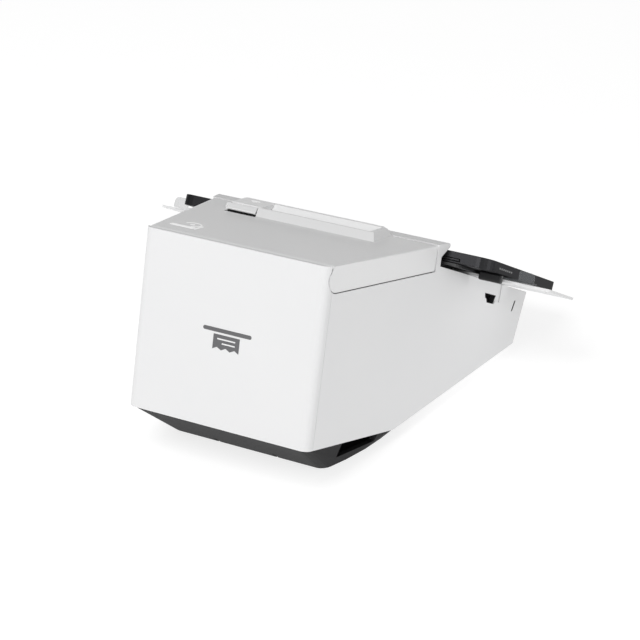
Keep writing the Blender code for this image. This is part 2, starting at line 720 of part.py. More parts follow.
def make_cover_frame(mats, cover_axis):
    """Dark frame under the cover: a cross plate, the floor under the lever and two arms for the shaft."""
    centre = (-PLATEN_RADIUS, 0.0)
    frame = box(ARM_X[0][0], ARM_X[1][1], 60.0, 92.0, -5.2, -2.8)
    join(frame, box(LEVER_X[0] - 0.9, LEVER_X[1] + 0.9, 91.0, 103.5, -4.6, -3.0))
    move_between(frame, BODY, PRINT)
    rear_top = to_system(BODY, PRINT, 60.0, -3.2)
    front_top = to_system(BODY, PRINT, 92.0, -3.2)
    for x0, x1 in ARM_X:
        outline = arc(centre, 5.2, -150.0, 0.0, 10)
        outline += [(-1.9, 8.0), (-1.9, 12.4), (-12.0, 12.4), front_top, rear_top]
        join(frame, prism(outline, x0, x1))
    cut(frame, rod(-60.0, 60.0, centre, SHAFT_RADIUS + 0.1, 24))
    return finish(frame, "cover_frame", PRINT, cover_axis, mats["black"], (0.0, *centre))


def to_system(source, target, forward, up):
    """(forward, up) of a point drawn in another system."""
    place = target.inverted() @ source @ Vector((0.0, -forward * MM, up * MM))
    return (-place.y / MM, place.z / MM)


def make_fixed_blade(mats, cover_axis):
    """Cutter's still blade, held between the arms of the cover's frame."""
    outline = [(-10.0, 12.0), (-10.0, 11.0), (-1.2, 11.0), (-0.7, 12.0)]
    blade = prism(outline, ARM_X[0][1] + GAP, ARM_X[1][0] - GAP)
    return finish(blade, "fixed_blade", PRINT, cover_axis, mats["steel"], (PAPER_CENTRE, -5.0, 11.5))


# ---------------------------------------------------------------- print unit

def frame_sides():
    """Across limits of the two cheeks of the print frame."""
    left = PAPER_CENTRE + FRAME_HALF
    right = PAPER_CENTRE - FRAME_HALF
    return (right, right + FRAME_SHEET), (left - FRAME_SHEET, left)


def make_print_frame(mats, root):
    """Sheet-metal frame: two cheeks with open slots for the platen shaft, joined by a back plate."""
    right, left = frame_sides()
    foot = SHELF[1] + GAP
    frame = box(right[0], left[1], 12.0, 13.5, foot, 8.6)
    throat = arc((-PLATEN_RADIUS, 0.0), SHAFT_RADIUS + 0.35, 180.0, 360.0, 12)
    outline = [(-12.4, foot), (-12.4, 1.5)] + throat
    outline += [(-3.65, 6.0), (5.0, 6.0), (5.0, 12.0), (13.5, 12.0), (13.5, foot)]
    for x0, x1 in (right, left):
        join(frame, prism(outline, x0, x1))
    bracket = box(left[0] + 0.4, GEAR_X[1] + 1.8, 12.2, 13.5, foot, -8.0)
    outline = [(-9.0, foot), (-9.0, -14.0), (4.0, -8.0), (13.5, -8.0), (13.5, foot)]
    holder = prism(outline, GEAR_X[1] + 0.5, GEAR_X[1] + 1.8)
    cut(holder, rod(42.0, 50.0, PINION, 4.3, 24))
    shelf = box(PAPER_CENTRE - 8.0, PAPER_CENTRE + 8.0, 4.6, 12.6, 8.1, 8.9)
    stub = rod(left[0] + 0.4, GEAR_X[1] + 0.3, IDLER, 1.5, 16)
    join(frame, bracket, holder, shelf, stub)
    return finish(frame, "print_frame", PRINT, root, mats["sheet"])


def make_head(mats, root):
    """Thermal head on its aluminium plate, pushed to the platen by two springs."""
    axis = axis_empty("head_axis", PRINT, PAPER_CENTRE, 4.0, 0.0, root)
    middle = (PAPER_CENTRE, 4.0, 0.0)
    head = box(PAPER_CENTRE - 40.8, PAPER_CENTRE + 40.8, 0.3, 1.3, -7.0, 7.0)
    finish(head, "print_head", PRINT, axis, mats["ceramic"], middle)
    plate = box(PAPER_CENTRE - 41.3, PAPER_CENTRE + 41.3, 1.6, 6.4, -10.0, 7.8)
    cut(plate, box(PAPER_CENTRE - 12.0, PAPER_CENTRE + 12.0, 4.4, 8.0, -12.0, -4.0))
    springs = (("head_spring_right", PAPER_CENTRE - 26.0), ("head_spring_left", PAPER_CENTRE + 26.0))
    for name, x in springs:
        cut(plate, plug((x, -1.0), 3.6, 4.3, 8.0, 20))
        finish(coil(x, -1.0, 5.0, 11.7, 2.6, 0.35, 4), name, PRINT, root, mats["steel"], (x, 11.7, -1.0))
    finish(plate, "head_plate", PRINT, axis, mats["aluminium"], middle)


def make_gears(mats, root):
    """Idler gear, motor pinion and the feed motor outside the paper's width."""
    middle = 0.5 * sum(GEAR_X)
    idler_axis = axis_empty("idler_axis", PRINT, middle, *IDLER, root)
    pinion_axis = axis_empty("pinion_axis", PRINT, middle, *PINION, root)
    idler = gear(GEAR_X[0], GEAR_X[1], IDLER, GEAR_RADIUS, GEAR_TEETH, 100.0)
    cut(idler, rod(30.0, 50.0, IDLER, 1.6, 16))
    finish(idler, "idler_gear", PRINT, idler_axis, mats["nylon"], (middle, *IDLER))
    pinion = gear(GEAR_X[0], GEAR_X[1], PINION, PINION_RADIUS, PINION_TEETH, 160.0)
    finish(pinion, "motor_pinion", PRINT, pinion_axis, mats["steel"], (middle, *PINION))
    motor = join(rod(46.6, 64.0, PINION, 12.0, 32), rod(GEAR_X[1] + 0.3, 47.0, PINION, 4.0, 20))
    finish(motor, "feed_motor", PRINT, root, mats["sheet"], (55.0, *PINION))


def make_cutter(mats, root):
    """Moving blade over its drive gear, the case behind the print frame and the cutter motor."""
    case = box(PAPER_CENTRE - 39.0, PAPER_CENTRE + 38.0, 13.8, 17.5, -20.0, 8.0)
    cut(case, box(PAPER_CENTRE - 36.0, PAPER_CENTRE + 35.0, 15.2, 20.0, -17.0, 5.0))
    finish(case, "cutter_case", PRINT, root, mats["black"], (PAPER_CENTRE, 16.0, -4.0))
    blade_axis = axis_empty("blade_axis", PRINT, PAPER_CENTRE, 8.0, 12.7, root)
    reach = FRAME_HALF
    outline = [(PAPER_CENTRE - reach, 1.4), (PAPER_CENTRE, 3.4), (PAPER_CENTRE + reach, 1.4),
               (PAPER_CENTRE + reach, 13.0), (PAPER_CENTRE - reach, 13.0)]
    blade = slab(outline, 12.3, 13.1)
    angle = math.radians(CRANK_REST)
    crank = (PAPER_CENTRE + CRANK_RADIUS * math.cos(angle), CUTTER_GEAR + CRANK_RADIUS * math.sin(angle))
    slot = (crank[1] - 1.15, crank[1] + 1.15)
    cut(blade, box(PAPER_CENTRE - 6.0, PAPER_CENTRE + 6.0, *slot, 11.0, 14.0))
    finish(blade, "moving_blade", PRINT, blade_axis, mats["steel"], (PAPER_CENTRE, 8.0, 12.7))
    wheel_axis = axis_empty("cutter_gear_axis", PRINT, PAPER_CENTRE, CUTTER_GEAR, 10.5, root)
    wheel = join(peg((PAPER_CENTRE, CUTTER_GEAR), 5.6, 9.2, 11.9, 28), peg(crank, 0.8, 11.0, 13.0, 16))
    finish(wheel, "cutter_gear", PRINT, wheel_axis, mats["nylon"], (PAPER_CENTRE, CUTTER_GEAR, 10.5))
    motor = rod(PAPER_CENTRE - 31.0, PAPER_CENTRE - 9.0, (23.9, -12.0), 6.0, 28)
    finish(motor, "cutter_motor", PRINT, root, mats["sheet"], (PAPER_CENTRE - 20.0, 23.9, -12.0))


# ---------------------------------------------------------------- roll compartment

def make_bucket(mats, root):
    """Drop-in trough for the paper roll, with a shelf in front that carries the print frame."""
    outer = BUCKET_RADIUS + BUCKET_WALL
    left = PAPER_CENTRE + BUCKET_HALF
    right = PAPER_CENTRE - BUCKET_HALF
    centre = ROLL_CENTRE
    outline = arc(centre, outer, 180.0, 360.0, 24)
    outline += [(centre[0] + outer, -48.6), (centre[0] - outer, -34.0)]
    inner = arc(centre, BUCKET_RADIUS, 180.0, 360.0, 24)
    inner += [(centre[0] + BUCKET_RADIUS, 10.0), (centre[0] - BUCKET_RADIUS, 10.0)]
    bucket = cut(prism(outline, right, left), prism(inner, right + BUCKET_WALL, left - BUCKET_WALL))
    shelf = box(-78.0, 78.0, -0.6, 18.0, *SHELF)
    cut(shelf, box(45.6, 65.4, -2.0, 13.6, SHELF[0] - 1.0, SHELF[1] + 1.0))
    join(bucket, move_between(shelf, PRINT, BODY))
    for x0, x1 in ((right, right + BUCKET_WALL), (left - BUCKET_WALL, left)):
        join(bucket, box(x0, x1, centre[0] - 20.0, centre[0] + 20.0, -116.0, -104.0))
    cut(bucket, box(right - 1.0, right + BUCKET_WALL + 1.0, 73.5, 82.5, -101.0, -91.5))
    join(bucket, rod(right - 5.6, right + 1.0, SENSOR_PIVOT, 1.1, 16))
    return finish(bucket, "roll_bucket", BODY, root, mats["black"])


def make_roll(mats, root):
    """Paper roll on its card core, lying in the trough."""
    drop = BUCKET_RADIUS - ROLL_RADIUS - GAP
    lean = math.radians(LEAN)
    centre = (ROLL_CENTRE[0] + drop * math.sin(lean), ROLL_CENTRE[1] - drop * math.cos(lean))
    middle = (PAPER_CENTRE, *centre)
    axis = axis_empty("roll_axis", BODY, *middle, root)
    half = 0.5 * PAPER_WIDTH
    roll = rod(PAPER_CENTRE - half, PAPER_CENTRE + half, centre, ROLL_RADIUS, 48)
    cut(roll, rod(-60.0, 60.0, centre, CORE_RADIUS, 28))
    finish(roll, "paper_roll", BODY, axis, mats["paper"], middle)
    core = rod(PAPER_CENTRE - half, PAPER_CENTRE + half, centre, CORE_RADIUS - GAP, 28)
    cut(core, rod(-60.0, 60.0, centre, CORE_BORE, 28))
    finish(core, "paper_core", BODY, axis, mats["card"], middle)


def make_sensor(mats, root):
    """Near-end sensor: an arm on a stub beside the trough, whose finger reaches in through a window."""
    wall = PAPER_CENTRE - BUCKET_HALF
    middle = wall - 2.6
    axis = axis_empty("sensor_axis", BODY, middle, *SENSOR_PIVOT, root)
    outline = arc(SENSOR_PIVOT, 3.0, -70.0, 150.0, 10) + arc(SENSOR_TIP, 1.8, 130.0, 290.0, 6)
    arm = prism(outline, middle - 2.0, middle + 2.0)
    cut(arm, rod(middle - 3.0, middle + 3.0, SENSOR_PIVOT, 1.2, 16))
    join(arm, rod(middle, wall + BUCKET_WALL + 1.0, SENSOR_TIP, 1.3, 12))
    finish(arm, "paper_sensor", BODY, axis, mats["black"], (middle, *SENSOR_PIVOT))


# ---------------------------------------------------------------- electronics

def make_electronics(mats, root):
    """Main board under the connector bay with its sockets facing the bay."""
    board = slab(rounded(-66.0, 66.0, 26.0, 104.0, 3.0), BOARD_TOP - 1.6, BOARD_TOP)
    for x in (-60.0, 60.0):
        for f in (32.0, 98.0):
            cut(board, peg((x, f), 1.6, BOARD_TOP - 3.0, BOARD_TOP + 1.0, 16))
    finish(board, "main_board", SLOPE, root, mats["board"])
    wall = 0.9
    for name, x, width, depth, height, finish_name in SOCKETS:
        low = BOARD_TOP + GAP
        rear = 60.0 - depth / 2
        front = 60.0 + depth / 2
        body = box(x - width / 2, x + width / 2, rear, front, low, low + height)
        cut(body, box(x - width / 2 + wall, x + width / 2 - wall, rear + wall, front - wall,
                      low + 5.0, low + height + 2.0))
        finish(body, name, SLOPE, root, mats[finish_name], (x, 60.0, low))


def make_controls(mats, root):
    """Rocker, feed button and status lens on the operator's face."""
    rocker_axis = axis_empty("rocker_axis", SLOPE, -52.0, FACE - 1.6, -14.0, root)
    outline = [(-60.8, FACE - 3.2), (-43.2, FACE - 3.2), (-43.2, FACE + 0.4), (-52.0, FACE - 0.6),
               (-60.8, FACE + 1.6)]
    rocker = slab(outline, -19.6, -8.4)
    finish(rocker, "power_switch", SLOPE, rocker_axis, mats["black"], (-52.0, FACE - 1.6, -14.0))
    button_axis = axis_empty("button_axis", SLOPE, 52.0, FACE, -14.0, root)
    button = plug((52.0, -14.0), 4.2, FACE - 3.4, FACE + 1.2, 28)
    join(button, plug((52.0, -14.0), 5.6, FACE - 5.4, FACE - 3.3, 28))
    finish(button, "feed_button", SLOPE, button_axis, mats["white"], (52.0, FACE, -14.0))
    key_board = box(38.0, 66.0, KEY_BOARD - 1.6, KEY_BOARD, -22.0, -6.0)
    finish(key_board, "key_board", SLOPE, root, mats["board"], (52.0, KEY_BOARD, -14.0))
    lens = box(16.3, 35.7, FACE - 2.9, FACE + 0.1, -15.3, -12.7)
    finish(lens, "status_lens", SLOPE, root, mats["lens"], (26.0, FACE, -14.0))


# ---------------------------------------------------------------- tablet stand

def make_stand(mats, root):
    """Tilting frame, carrier plate with sliding clamps, and the tablet."""
    axis = axis_empty("stand_axis", SLOPE, 0.0, *STAND_HINGE, root)
    pivot = (0.0, *STAND_HINGE)
    low, high = FRAME_RISE
    frame = slab(rounded(-98.0, 98.0, 9.0, 112.0, 3.0), low, high)
    join(frame, slab(rounded(-112.0, 112.0, 54.0, 111.0, 3.0), low, high))
    join(frame, slab(rounded(-82.0, 82.0, 9.0, 44.2, 3.0), 0.6, low + 0.4))
    barrel = arc(STAND_HINGE, STAND_BARREL, 90.0, -120.0, 12)
    for x0, x1 in ((-74.7, -62.0), (62.0, 74.7)):
        join(frame, prism([(110.0, low), (110.0, high)] + barrel + [(122.0, low)], x0, x1))
    cut(frame, rod(-90.0, 90.0, STAND_HINGE, STAND_PIN + 0.05, 16))
    finish(frame, "mount_frame", SLOPE, axis, mats["black"], pivot)
    for name, side in (("mount_pin_right", -1), ("mount_pin_left", 1)):
        pin = rod(61.5 * side, 81.5 * side, STAND_HINGE, STAND_PIN, 16)
        finish(pin, name, SLOPE, root, mats["steel"], pivot)
    carrier = slab(rounded(-CARRIER_HALF, CARRIER_HALF, *CARRIER_SPAN, 3.0), *CARRIER_RISE)
    for side in (-1, 1):
        for x in (127.0, 136.0, 145.0):
            cut(carrier, peg((x * side, 62.0), 1.6, -1.0, 4.0, 16))
    finish(carrier, "carrier_plate", SLOPE, axis, mats["white"], pivot)
    make_clamps(mats, axis)
    make_tablet(mats, axis)


def mirrored(low, high, side):
    """Ordered across limits on the left (side 1) or right (side -1)."""
    return sorted((low * side, high * side))


def make_clamps(mats, stand_axis):
    """Clear finger hooks at the ends of the carrier, each on a dark sliding block."""
    low = FRAME_RISE[0]
    inner, upright_at, outer = HOOK_REACH
    for name, side in (("right", -1), ("left", 1)):
        pivot = (120.0 * side, 45.0, low)
        axis = axis_empty("clamp_axis_" + name, SLOPE, *pivot, stand_axis)
        foot = slab(rounded(*mirrored(inner, outer, side), 43.0, 52.0, 1.0, 2), low, low + 1.6)
        upright = box(*mirrored(upright_at, outer, side), 41.6, 44.2, low, HOOK_TOP)
        corner = outer * side
        round_edges(upright, 3.5, 4, lambda p, q: min(p[2], q[2]) > HOOK_TOP - 0.4
                    and max(abs(p[0] - corner), abs(q[0] - corner)) < 0.1)
        finish(join(upright, foot), "clamp_hook_" + name, SLOPE, axis, mats["clear"], pivot)
        block = box(*mirrored(*BLOCK_REACH, side), 36.4, 41.2, -1.6, FRAME_RISE[1])
        finish(block, "clamp_block_" + name, SLOPE, stand_axis, mats["black"], pivot)


def tablet_outline(inset):
    """Rounded outline of the tablet moved in by inset."""
    return rounded(inset - TABLET_HALF, TABLET_HALF - inset, TABLET_SPAN[0] + inset,
                   TABLET_SPAN[1] - inset, TABLET_CORNER - inset, 6)


def make_tablet(mats, stand_axis):
    """Dark tablet: shell with its glass let in, and a key on the long rear edge."""
    rear = TABLET_SPAN[0]
    floor = TABLET_RISE[1] - 1.2
    key_x, key_up = TABLET_KEY
    pivot = (0.0, rear, TABLET_RISE[0])
    shell = slab(tablet_outline(0.0), *TABLET_RISE)
    cut(shell, slab(tablet_outline(TABLET_EDGE), floor, TABLET_RISE[1] + 2.0))
    cut(shell, box(key_x - 6.6, key_x + 6.6, rear - 1.0, rear + 1.6, key_up - 1.0, key_up + 1.0))
    finish(shell, "tablet_shell", SLOPE, stand_axis, mats["tablet"], pivot)
    glass = slab(tablet_outline(TABLET_EDGE + GAP), floor + GAP, TABLET_RISE[1])
    finish(glass, "tablet_glass", SLOPE, stand_axis, mats["glass"], pivot)
    key_axis = axis_empty("key_axis", SLOPE, key_x, rear, key_up, stand_axis)
    key = box(key_x - 6.3, key_x + 6.3, rear - 0.3, rear + 0.7, key_up - 0.7, key_up + 0.7)
    finish(key, "tablet_key", SLOPE, key_axis, mats["tablet"], (key_x, rear, key_up))


# ---------------------------------------------------------------- assembly

def main():
    """Build every piece under one root."""
    for obj in list(bpy.data.objects):
        bpy.data.objects.remove(obj)
    mats = make_materials()
    root = axis_empty("printer", Matrix.Identity(4), 0.0, 0.0, 0.0)
    make_base(mats, root)
    make_feet(mats, root)
    make_housing(mats, root)
    make_rear_panel(mats, root)
    make_exit_block(mats, root)
    make_hinge_pin(mats, root)
    cover_axis = axis_empty("cover_axis", BODY, 0.0, *HINGE, root)
    make_cover(mats, cover_axis)
    make_cover_frame(mats, cover_axis)
    make_lever(mats, cover_axis)
    make_fixed_blade(mats, cover_axis)
    make_platen(mats, cover_axis)
    make_print_frame(mats, root)
    make_head(mats, root)
    make_gears(mats, root)
    make_cutter(mats, root)
    make_bucket(mats, root)
    make_roll(mats, root)
    make_sensor(mats, root)
    make_electronics(mats, root)
    make_controls(mats, root)
    make_stand(mats, root)


main()
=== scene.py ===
"""Looks of the receipt printer: materials, small details, studio and camera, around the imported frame.

The details are drawn in three systems that lean like the printer. Each has the axes (across, forward,
up) in millimetres, where forward points to the operator:
  BODY   from the middle of the rear top edge, forward along the top
  SLOPE  from the middle of the upper end of the sloped front, forward down the slope
  LEVEL  from the foot point under the rear top edge, parallel to the counter
"""

import math

import bmesh
import bpy
from mathutils import Matrix, Vector


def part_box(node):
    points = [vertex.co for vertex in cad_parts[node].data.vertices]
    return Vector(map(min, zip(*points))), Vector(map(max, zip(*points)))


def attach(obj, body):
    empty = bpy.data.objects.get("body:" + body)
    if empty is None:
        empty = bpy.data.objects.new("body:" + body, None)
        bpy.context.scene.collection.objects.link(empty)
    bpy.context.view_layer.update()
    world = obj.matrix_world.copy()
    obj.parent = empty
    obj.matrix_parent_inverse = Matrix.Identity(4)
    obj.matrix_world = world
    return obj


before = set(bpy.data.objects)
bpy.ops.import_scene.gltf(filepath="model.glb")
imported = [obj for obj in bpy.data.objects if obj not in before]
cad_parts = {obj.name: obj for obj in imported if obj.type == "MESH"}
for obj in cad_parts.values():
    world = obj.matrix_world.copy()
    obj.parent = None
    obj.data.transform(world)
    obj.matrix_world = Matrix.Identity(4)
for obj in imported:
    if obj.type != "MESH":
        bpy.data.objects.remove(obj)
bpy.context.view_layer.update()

MM = 0.001
BODY_ORIGIN = (0.0, 0.1204, 0.1555)
BODY_LEAN = 14.4
SLOPE_ORIGIN = (0.0, -0.0002, 0.1096)
SLOPE_LEAN = 29.65
LEVEL_ORIGIN = (0.0, 0.1204, 0.0)

# The two ends of the body, and the sign of the across axis at each
ENDS = (("left", 1), ("right", -1))
# Half the body's width at its rear top edge, and how much it grows per millimetre forward (BODY)
REAR_HALF_WIDTH = 65.5
FLARE = 0.167
# Centre of the round rear corner of the cover's flanges, as (forward, up), and the radius of the ledge
# that runs round it (BODY)
FLANGE_CENTRE = (12.4, -9.0)
LEDGE_RADIUS = 9.6
# How far the roll cover lies below the rims around it, and the top of the exit block (BODY)
COVER_DROP = 0.5
EXIT_TOP = 4.0
# Just clear of the screen glass, and the upper side of the main board (SLOPE)
GLASS_TOP = 12.3
BOARD_TOP = -34.0
# Half the tablet's length, and how far the underside of the base is above the counter
TABLET_HALF_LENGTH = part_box("tablet_shell")[1].x / MM
BASE_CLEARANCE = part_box("base_tray")[0].z / MM
# Thickness of the dark and of the pale print
DARK_PRINT = 0.12
PALE_PRINT = 0.08

# Camera: the point it looks at and its distance in metres, its angles in degrees, its focal length in mm
AIM = (-0.0530, 0.1070, 0.1100)
DISTANCE = 1.25
AZIMUTH = 206.8
ELEVATION = 27.4
ROLL = 0.3
LENS = 111.2


# ---------------------------------------------------------------- materials

def new_material(name):
    """New node material: itself, its nodes, its links and its shader."""
    material = bpy.data.materials.new(name)
    material.use_nodes = True
    nodes = material.node_tree.nodes
    return material, nodes, material.node_tree.links, nodes["Principled BSDF"]


def add(nodes, kind, inputs):
    """New shader node with values on its inputs."""
    node = nodes.new("ShaderNode" + kind)
    for name, value in inputs.items():
        node.inputs[name].default_value = value
    return node


def two_tone(nodes, colour, shade, low=0.0, high=1.0):
    """Colour ramp from shade at low to colour at high."""
    ramp = nodes.new("ShaderNodeValToRGB")
    for element, position, tone in zip(ramp.color_ramp.elements, (low, high), (shade, colour)):
        element.position = position
        element.color = (*tone, 1.0)
    return ramp


def moulded(name, colour, shade, roughness, grain=0.35, depth=0.05, coat=0.0, metallic=0.0, specular=0.5,
            edge=1.0, glow=0.0):
    """Moulded or painted surface: fine grain in the bump and the gloss, slow change in the colour.

    The grain and its depth are in millimetres. The edge value tones the reflections of a metallic finish
    at a low angle, and glow is white light of the surface's own.
    """
    material, nodes, links, shader = new_material(name)
    place = nodes.new("ShaderNodeTexCoord")
    slow = add(nodes, "TexNoise", {"Scale": 14.0, "Detail": 3.0})
    fine = add(nodes, "TexNoise", {"Scale": 1000.0 / grain, "Detail": 2.0})
    ramp = two_tone(nodes, colour, shade, 0.3, 0.7)
    gloss = add(nodes, "MapRange", {"To Min": roughness - 0.05, "To Max": roughness + 0.05})
    bump = add(nodes, "Bump", {"Strength": 0.35, "Distance": depth * MM})
    links.new(place.outputs["Object"], slow.inputs["Vector"])
    links.new(place.outputs["Object"], fine.inputs["Vector"])
    links.new(slow.outputs["Fac"], ramp.inputs["Fac"])
    links.new(ramp.outputs["Color"], shader.inputs["Base Color"])
    links.new(fine.outputs["Fac"], gloss.inputs["Value"])
    links.new(gloss.outputs["Result"], shader.inputs["Roughness"])
    links.new(fine.outputs["Fac"], bump.inputs["Height"])
    links.new(bump.outputs["Normal"], shader.inputs["Normal"])
    shader.inputs["Metallic"].default_value = metallic
    shader.inputs["Coat Weight"].default_value = coat
    shader.inputs["Specular IOR Level"].default_value = specular
    shader.inputs["Specular Tint"].default_value = (edge, edge, edge, 1.0)
    shader.inputs["Emission Color"].default_value = (1.0, 1.0, 1.0, 1.0)
    shader.inputs["Emission Strength"].default_value = glow
    return material


def metal(name, colour, shade, roughness, stretch):
    """Bare metal with a fine grain; stretch scales the noise along the axes, to draw it out along one."""
    material, nodes, links, shader = new_material(name)
    place = nodes.new("ShaderNodeTexCoord")
    mapping = add(nodes, "Mapping", {"Scale": stretch})
    noise = add(nodes, "TexNoise", {"Scale": 900.0, "Detail": 4.0})
    ramp = two_tone(nodes, colour, shade)
    gloss = add(nodes, "MapRange", {"To Min": roughness - 0.08, "To Max": roughness + 0.08})
    bump = add(nodes, "Bump", {"Strength": 0.3, "Distance": 0.02 * MM})
    links.new(place.outputs["Object"], mapping.inputs["Vector"])
    links.new(mapping.outputs["Vector"], noise.inputs["Vector"])
    links.new(noise.outputs["Fac"], ramp.inputs["Fac"])
    links.new(ramp.outputs["Color"], shader.inputs["Base Color"])
    links.new(noise.outputs["Fac"], gloss.inputs["Value"])
    links.new(gloss.outputs["Result"], shader.inputs["Roughness"])
    links.new(noise.outputs["Fac"], bump.inputs["Height"])
    links.new(bump.outputs["Normal"], shader.inputs["Normal"])
    shader.inputs["Metallic"].default_value = 1.0
    return material


def clear_plastic(name):
    """Thin clear plastic: it mostly lets the view through, with a faint haze and a gloss."""
    material, nodes, links, shader = new_material(name)
    place = nodes.new("ShaderNodeTexCoord")
    noise = add(nodes, "TexNoise", {"Scale": 700.0})
    gloss = add(nodes, "MapRange", {"To Min": 0.12, "To Max": 0.24})
    links.new(place.outputs["Object"], noise.inputs["Vector"])
    links.new(noise.outputs["Fac"], gloss.inputs["Value"])
    links.new(gloss.outputs["Result"], shader.inputs["Roughness"])
    shader.inputs["Base Color"].default_value = (0.20, 0.21, 0.22, 1.0)
    shader.inputs["Alpha"].default_value = 0.22
    shader.inputs["IOR"].default_value = 1.49
    return material


def wound_paper(name):
    """Paper roll: fine rings of the winding on its ends."""
    material, nodes, links, shader = new_material(name)
    low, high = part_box("paper_roll")
    middle = 0.5 * (low + high)
    place = nodes.new("ShaderNodeTexCoord")
    mapping = add(nodes, "Mapping", {"Location": (0.0, -middle.y, -middle.z)})
    rings = add(nodes, "TexWave", {"Scale": 420.0, "Distortion": 1.5, "Detail": 2.0})
    rings.wave_type = "RINGS"
    rings.rings_direction = "X"
    ramp = two_tone(nodes, (0.88, 0.88, 0.87), (0.78, 0.78, 0.77))
    bump = add(nodes, "Bump", {"Strength": 0.3, "Distance": 0.05 * MM})
    links.new(place.outputs["Object"], mapping.inputs["Vector"])
    links.new(mapping.outputs["Vector"], rings.inputs["Vector"])
    links.new(rings.outputs["Fac"], ramp.inputs["Fac"])
    links.new(ramp.outputs["Color"], shader.inputs["Base Color"])
    links.new(rings.outputs["Fac"], bump.inputs["Height"])
    links.new(bump.outputs["Normal"], shader.inputs["Normal"])
    shader.inputs["Roughness"].default_value = 0.7
    return material


# The housing's white is a shade darker than the cover's, as painted shade that holds down the rear panel
# where the key lamp falls
SHADED_WHITE = moulded("shaded_white_moulding", (0.765, 0.765, 0.768), (0.75, 0.752, 0.757), 0.42)
COVER_WHITE = moulded("cover_moulding", (0.80, 0.80, 0.80), (0.785, 0.787, 0.79), 0.34)
# Brighter white on the exit block and the open lever, as painted light on their faces turned to the key
# lamp
PAINTED_LIGHT_WHITE = moulded("painted_light_moulding", (0.89, 0.89, 0.89), (0.875, 0.877, 0.88), 0.38)
BLACK = moulded("black_moulding", (0.022, 0.022, 0.024), (0.016, 0.016, 0.017), 0.45, 0.5, 0.08)
BASE_GREY = moulded("base_moulding", (0.026, 0.026, 0.027), (0.021, 0.021, 0.022), 0.5, 0.5, 0.08,
                    specular=0.03)
RUBBER = moulded("rubber_black", (0.028, 0.028, 0.028), (0.02, 0.02, 0.02), 0.8, 0.6, 0.06)
TABLET = moulded("tablet_shell", (0.042, 0.042, 0.045), (0.036, 0.036, 0.038), 0.38, 0.15, 0.02,
                 metallic=1.0, edge=0.5)
GLASS = moulded("screen_glass", (0.006, 0.006, 0.008), (0.005, 0.005, 0.006), 0.09, 4.0, 0.001)
NYLON = moulded("gear_nylon", (0.72, 0.71, 0.67), (0.66, 0.65, 0.61), 0.45, 0.4)
BOARD = moulded("circuit_board", (0.015, 0.13, 0.055), (0.01, 0.10, 0.04), 0.35, 0.9, 0.05, coat=0.3)
CERAMIC = moulded("head_glaze", (0.62, 0.55, 0.47), (0.56, 0.50, 0.43), 0.2, 0.3, 0.01)
CARD = moulded("core_card", (0.42, 0.31, 0.20), (0.33, 0.24, 0.15), 0.85, 0.7, 0.1)
LENS_BLUE = moulded("lens_blue", (0.22, 0.50, 0.80), (0.20, 0.46, 0.75), 0.15, 2.0, 0.005, coat=0.5)
INK = moulded("printed_ink", (0.13, 0.13, 0.135), (0.11, 0.11, 0.115), 0.5, 0.2, 0.01)
# The pale print glows a little, as painted light that makes it brighter than the lamps alone
GLOWING_PRINT_INK = moulded("pale_ink_painted_glow", (0.96, 0.96, 0.96), (0.93, 0.93, 0.93), 0.5, 0.2, 0.01, glow=0.2)
STEEL = metal("ground_steel", (0.60, 0.61, 0.62), (0.50, 0.51, 0.52), 0.28, (0.08, 1.0, 1.0))
SHEET = metal("zinc_sheet", (0.62, 0.62, 0.60), (0.48, 0.48, 0.47), 0.38, (1.0, 1.0, 1.0))
ALUMINIUM = metal("extruded_aluminium", (0.78, 0.79, 0.80), (0.70, 0.71, 0.72), 0.35, (0.05, 1.0, 1.0))
GOLD = metal("contact_gold", (0.85, 0.62, 0.26), (0.75, 0.53, 0.22), 0.25, (1.0, 1.0, 1.0))
CLEAR = clear_plastic("clear_moulding")
PAPER = wound_paper("wound_paper")

# Which CAD nodes have which material
FINISH = {
    SHADED_WHITE: ("housing", "rear_panel", "carrier_plate", "feed_button"),
    PAINTED_LIGHT_WHITE: ("exit_block", "open_lever"),
    COVER_WHITE: ("roll_cover",),
    BASE_GREY: ("base_tray",),
    BLACK: ("cover_frame", "cutter_case", "roll_bucket", "paper_sensor", "power_socket",
            "drawer_socket", "power_switch", "mount_frame", "clamp_block_left", "clamp_block_right"),
    RUBBER: ("foot_rear_left", "foot_rear_right", "foot_front_left", "foot_front_right", "platen_roller"),
    STEEL: ("hinge_pin", "head_spring_left", "head_spring_right", "lever_pin", "fixed_blade",
            "platen_shaft", "motor_pinion", "moving_blade", "mount_pin_left", "mount_pin_right",
            "usb_b_socket", "usb_a_socket", "lan_socket"),
    SHEET: ("print_frame", "feed_motor", "cutter_motor"),
    ALUMINIUM: ("head_plate",),
    CERAMIC: ("print_head",),
    NYLON: ("platen_gear", "idler_gear", "cutter_gear"),
    BOARD: ("main_board", "key_board"),
    CLEAR: ("clamp_hook_left", "clamp_hook_right"),
    TABLET: ("tablet_shell", "tablet_key"),
    GLASS: ("tablet_glass",),
    PAPER: ("paper_roll",),
    CARD: ("paper_core",),
    LENS_BLUE: ("status_lens",),
}
# Radius of the rounding on the edges of a node, in millimetres
SOFT_EDGES = {
    "housing": 0.8, "rear_panel": 0.7, "exit_block": 0.7, "open_lever": 0.5, "roll_cover": 0.5,
    "carrier_plate": 0.5, "feed_button": 0.4, "base_tray": 1.0, "mount_frame": 0.5,
    "clamp_block_left": 1.0, "clamp_block_right": 1.0, "clamp_hook_left": 0.4, "clamp_hook_right": 0.4,
    "tablet_shell": 2.2, "tablet_glass": 0.3, "tablet_key": 0.3, "power_switch": 0.5,
    "foot_rear_left": 0.5, "foot_rear_right": 0.5, "foot_front_left": 0.5, "foot_front_right": 0.5,
    "roll_bucket": 0.5, "cover_frame": 0.4, "paper_roll": 0.3, "cutter_case": 0.4, "feed_motor": 0.6,
    "cutter_motor": 0.5, "status_lens": 0.3, "paper_sensor": 0.4,
}


